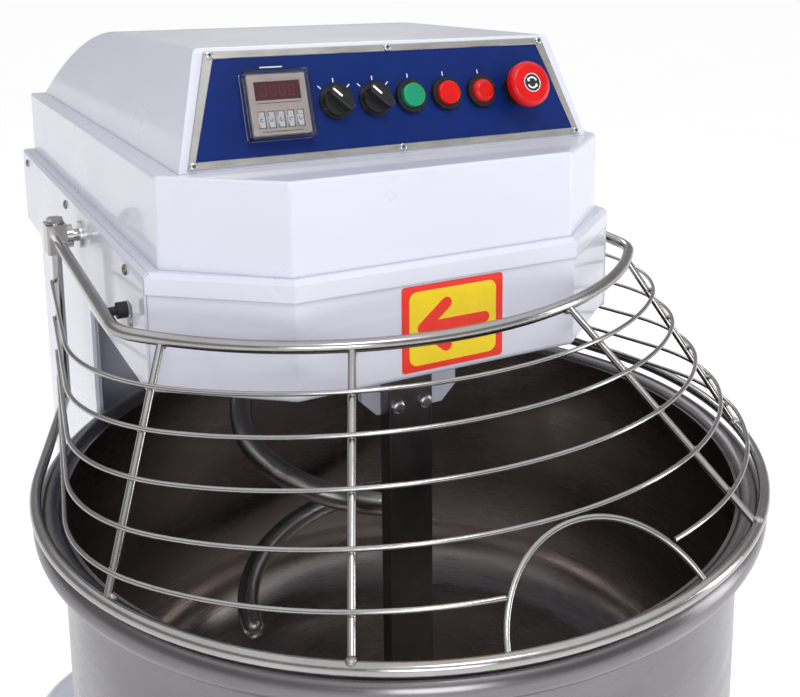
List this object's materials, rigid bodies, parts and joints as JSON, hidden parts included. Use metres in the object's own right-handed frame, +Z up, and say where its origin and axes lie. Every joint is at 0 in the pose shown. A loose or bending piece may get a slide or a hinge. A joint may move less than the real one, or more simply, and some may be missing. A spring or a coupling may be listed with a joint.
{
  "type": "commercial spiral dough mixer",
  "caption": "Floor-standing spiral dough mixer with a rotating steel bowl, hinged wire guard, breaker bar, spiral hook and a sloping control panel.",
  "frame": {"origin": "on the floor under the middle of the machine's bounding box", "axes": "+Z up, -Y towards the operator and the bowl, +X to the operator's right"},
  "size_m": [0.613, 0.9325, 1.199],
  "materials": {
    "white_paint": "gloss",
    "stainless": "brushed",
    "polished_wire": "polished",
    "dark_steel": "satin",
    "zinc": "satin",
    "machined_iron": "satin",
    "blue_panel": "satin",
    "panel_border": "brushed",
    "beige_plastic": "matte",
    "display_red": "gloss",
    "clear_cover": "gloss",
    "black_plastic": "gloss",
    "green_plastic": "gloss",
    "red_plastic": "gloss",
    "yellow_label": "satin",
    "black_rubber": "matte",
    "belt_rubber": "matte",
    "motor_paint": "satin",
    "white_nylon": "matte"
  },
  "bodies": {
    "machine": {"base_housing": "white_paint", "base_plate": "white_paint", "belly_pan": "white_paint", "bowl_bearing": "machined_iron", "bowl_belt": "belt_rubber", "bowl_motor": "motor_paint", "breaker_bar": "dark_steel", "breaker_bolts": "zinc", "breaker_bracket": "white_paint", "button_collars": "black_plastic", "cable_gland": "black_plastic", "column_front_panel": "white_paint", "cover_screws": "zinc", "direction_label": "yellow_label", "emergency_collar": "black_plastic", "guard_bushings": "zinc", "guard_switch": "black_plastic", "head_deck": "white_paint", "hood": "white_paint", "hook_bearing": "machined_iron", "hook_belt": "belt_rubber", "hook_motor": "motor_paint", "levelling_feet": "zinc", "panel_bezel": "panel_border", "panel_plate": "blue_panel", "panel_screws": "zinc", "power_lamp": "red_plastic", "rear_cover": "white_paint", "selector_collars": "black_plastic", "side_plate_left": "white_paint", "side_plate_right": "white_paint", "timer_body": "beige_plastic", "timer_cover": "clear_cover", "timer_display": "display_red", "upper_housing": "white_paint"},
    "guard": {"guard_arch": "polished_wire", "guard_pivots": "polished_wire", "guard_ribs": "polished_wire", "guard_ring": "polished_wire", "guard_stop_bolts": "black_rubber", "guard_top_tube": "polished_wire", "guard_wire_lowest": "polished_wire", "guard_wires_middle": "polished_wire", "guard_wires_upper": "polished_wire"},
    "hook": {"spiral_hook": "stainless", "hook_shaft": "zinc", "hook_pulley": "machined_iron"},
    "hook_motor_rotor": {"hook_motor_pulley": "machined_iron"},
    "bowl_group": {"bowl": "stainless", "bowl_shaft": "zinc", "bowl_pulley": "machined_iron"},
    "bowl_motor_rotor": {"bowl_motor_pulley": "machined_iron"},
    "selector_1": {"selector_knob_1": "black_plastic"},
    "selector_2": {"selector_knob_2": "black_plastic"},
    "start": {"start_button": "green_plastic"},
    "stop": {"stop_button": "red_plastic"},
    "emergency_slide_group": {"emergency_stem": "black_plastic"},
    "emergency_head_group": {"emergency_head": "red_plastic"},
    "plunger": {"switch_plunger": "white_nylon"}
  },
  "joints": [
    {"name": "guard_hinge", "type": "hinge", "parent": "machine", "child": "guard", "pos_m": [0, 0.085, 1.01], "axis": [-1, 0, 0], "range_deg": [0, 78]},
    {"name": "hook_spin", "type": "hinge", "parent": "machine", "child": "hook", "pos_m": [0, -0.003, 0.8], "axis": [0, 0, 1], "continuous": true},
    {"name": "hook_motor_spin", "type": "hinge", "parent": "machine", "child": "hook_motor_rotor", "pos_m": [0, 0.25, 1.066], "axis": [0, 0, 1], "continuous": true},
    {"name": "bowl_spin", "type": "hinge", "parent": "machine", "child": "bowl_group", "pos_m": [0, -0.16, 0.5], "axis": [0, 0, 1], "continuous": true},
    {"name": "bowl_motor_spin", "type": "hinge", "parent": "machine", "child": "bowl_motor_rotor", "pos_m": [0, 0.245, 0.12], "axis": [0, 0, 1], "continuous": true},
    {"name": "selector_1_turn", "type": "hinge", "parent": "machine", "child": "selector_1", "pos_m": [-0.053, -0.15207, 1.15291], "axis": [0, 0.9466, -0.3225], "range_deg": [0, 90]},
    {"name": "selector_2_turn", "type": "hinge", "parent": "machine", "child": "selector_2", "pos_m": [-0.018, -0.15207, 1.15291], "axis": [0, 0.9466, -0.3225], "range_deg": [0, 90]},
    {"name": "start_press", "type": "slide", "parent": "machine", "child": "start", "axis": [0, 0.9466, -0.3225], "range_m": [0, 0.004], "stiffness_N_per_m": 400},
    {"name": "stop_press", "type": "slide", "parent": "machine", "child": "stop", "axis": [0, 0.9466, -0.3225], "range_m": [0, 0.004], "stiffness_N_per_m": 400},
    {"name": "emergency_press", "type": "slide", "parent": "machine", "child": "emergency_slide_group", "axis": [0, 0.9466, -0.3225], "range_m": [0, 0.005]},
    {"name": "emergency_twist", "type": "hinge", "parent": "emergency_slide_group", "child": "emergency_head_group", "pos_m": [0.122, -0.15207, 1.15291], "axis": [0, 0.9466, -0.3225], "range_deg": [0, 45]},
    {"name": "switch_press", "type": "slide", "parent": "machine", "child": "plunger", "axis": [1, 0, 0], "range_m": [0, 0.004], "stiffness_N_per_m": 300}
  ],
  "couplings": [
    {"joint": "hook_motor_spin", "follows": "hook_spin", "ratio": 3.0526},
    {"joint": "bowl_motor_spin", "follows": "bowl_spin", "ratio": 4}
  ]
}
